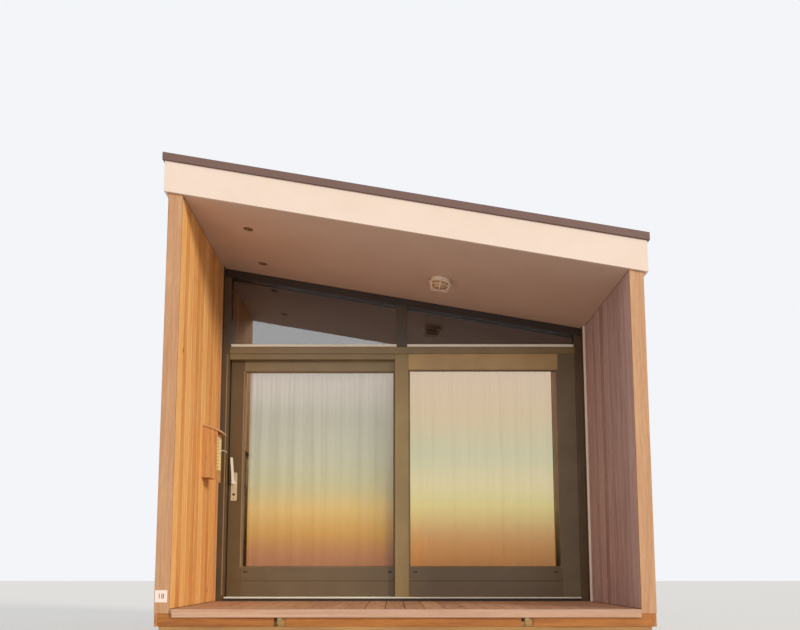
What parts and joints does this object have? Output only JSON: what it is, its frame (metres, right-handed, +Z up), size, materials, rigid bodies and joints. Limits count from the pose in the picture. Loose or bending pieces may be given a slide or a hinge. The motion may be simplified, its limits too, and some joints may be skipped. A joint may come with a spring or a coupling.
{
  "type": "beach hut",
  "caption": "Raised timber beach hut with a single-slope roof, a covered front porch and a glazed wall with a sliding door leaf",
  "frame": {"origin": "on the ground under the middle of the hut", "axes": "+Z up, +X to the right seen from the porch, which faces -Y; the roof falls towards +X"},
  "size_m": [3.68, 6.076, 3.9885],
  "materials": {
    "treated_pine": "rough sawn, greenish pressure treated pine",
    "rim_timber": "planed board, weathered",
    "deck_timber": "oiled deck boards, weathered",
    "floor_board": "planed boards",
    "cladding": "larch boards, clear finish with knots",
    "frame_paint": "dark olive brown paint, satin",
    "sill_metal": "anodised",
    "clear_glass": "clear double glazing",
    "satin_steel": "satin",
    "soffit_paint": "matt paint on panels",
    "fascia_paint": "cream white paint, satin",
    "roof_panel": "panel, hidden behind the fascias",
    "roof_membrane": "dark roofing membrane",
    "roof_edge": "dark grey brown coated",
    "lamp_housing": "cream enamel",
    "lamp_lens": "ribbed lens",
    "spot_ring": "satin",
    "box_timber": "cedar, oiled",
    "box_lid": "bent sheet, weathered",
    "plate_enamel": "white enamel",
    "rail_aluminium": "anodised",
    "curtain_cloth": "plain woven cloth"
  },
  "bodies": {
    "hut": {"ceiling_spots": "spot_ring", "corner_boards": "cladding", "curtain_left": "curtain_cloth", "curtain_rail": "rail_aluminium", "curtain_right": "curtain_cloth", "deck": "deck_timber", "deck_nosing": "deck_timber", "end_beams": "treated_pine", "end_fascias": "fascia_paint", "fixed_beads": "frame_paint", "fixed_glass": "clear_glass", "fixed_rails": "frame_paint", "fixed_stiles": "frame_paint", "floor": "floor_board", "floor_joists": "treated_pine", "frame_head": "frame_paint", "frame_jambs": "frame_paint", "lamp_base": "lamp_housing", "lamp_cage": "lamp_housing", "lamp_glass": "lamp_lens", "left_wall": "cladding", "number_plate": "plate_enamel", "rear_wall": "cladding", "right_wall": "cladding", "rim_blocks": "rim_timber", "rim_boards": "rim_timber", "roof_covering": "roof_membrane", "roof_edge_trim": "roof_edge", "roof_slab": "roof_panel", "side_beams": "treated_pine", "side_fascias": "fascia_paint", "side_skirts": "rim_timber", "soffit": "soffit_paint", "support_posts": "treated_pine", "threshold": "sill_metal", "track_cover": "frame_paint", "transom_glass": "clear_glass", "transom_post": "frame_paint", "transom_rail": "frame_paint", "transom_sill": "sill_metal", "wall_box": "box_timber", "wall_box_lid": "box_lid"},
    "door": {"door_stiles": "frame_paint", "door_rails": "frame_paint", "door_beads": "frame_paint", "door_glass": "clear_glass", "handle_plates": "satin_steel"},
    "handle": {"lever": "satin_steel"}
  },
  "joints": [
    {"name": "door_slide", "type": "slide", "parent": "hut", "child": "door", "axis": [1, 0, 0], "range_m": [0, 1.44]},
    {"name": "handle_turn", "type": "hinge", "parent": "door", "child": "handle", "pos_m": [-1.551, -1.224, 1.63], "axis": [0, 1, 0], "range_deg": [0, 180]}
  ]
}
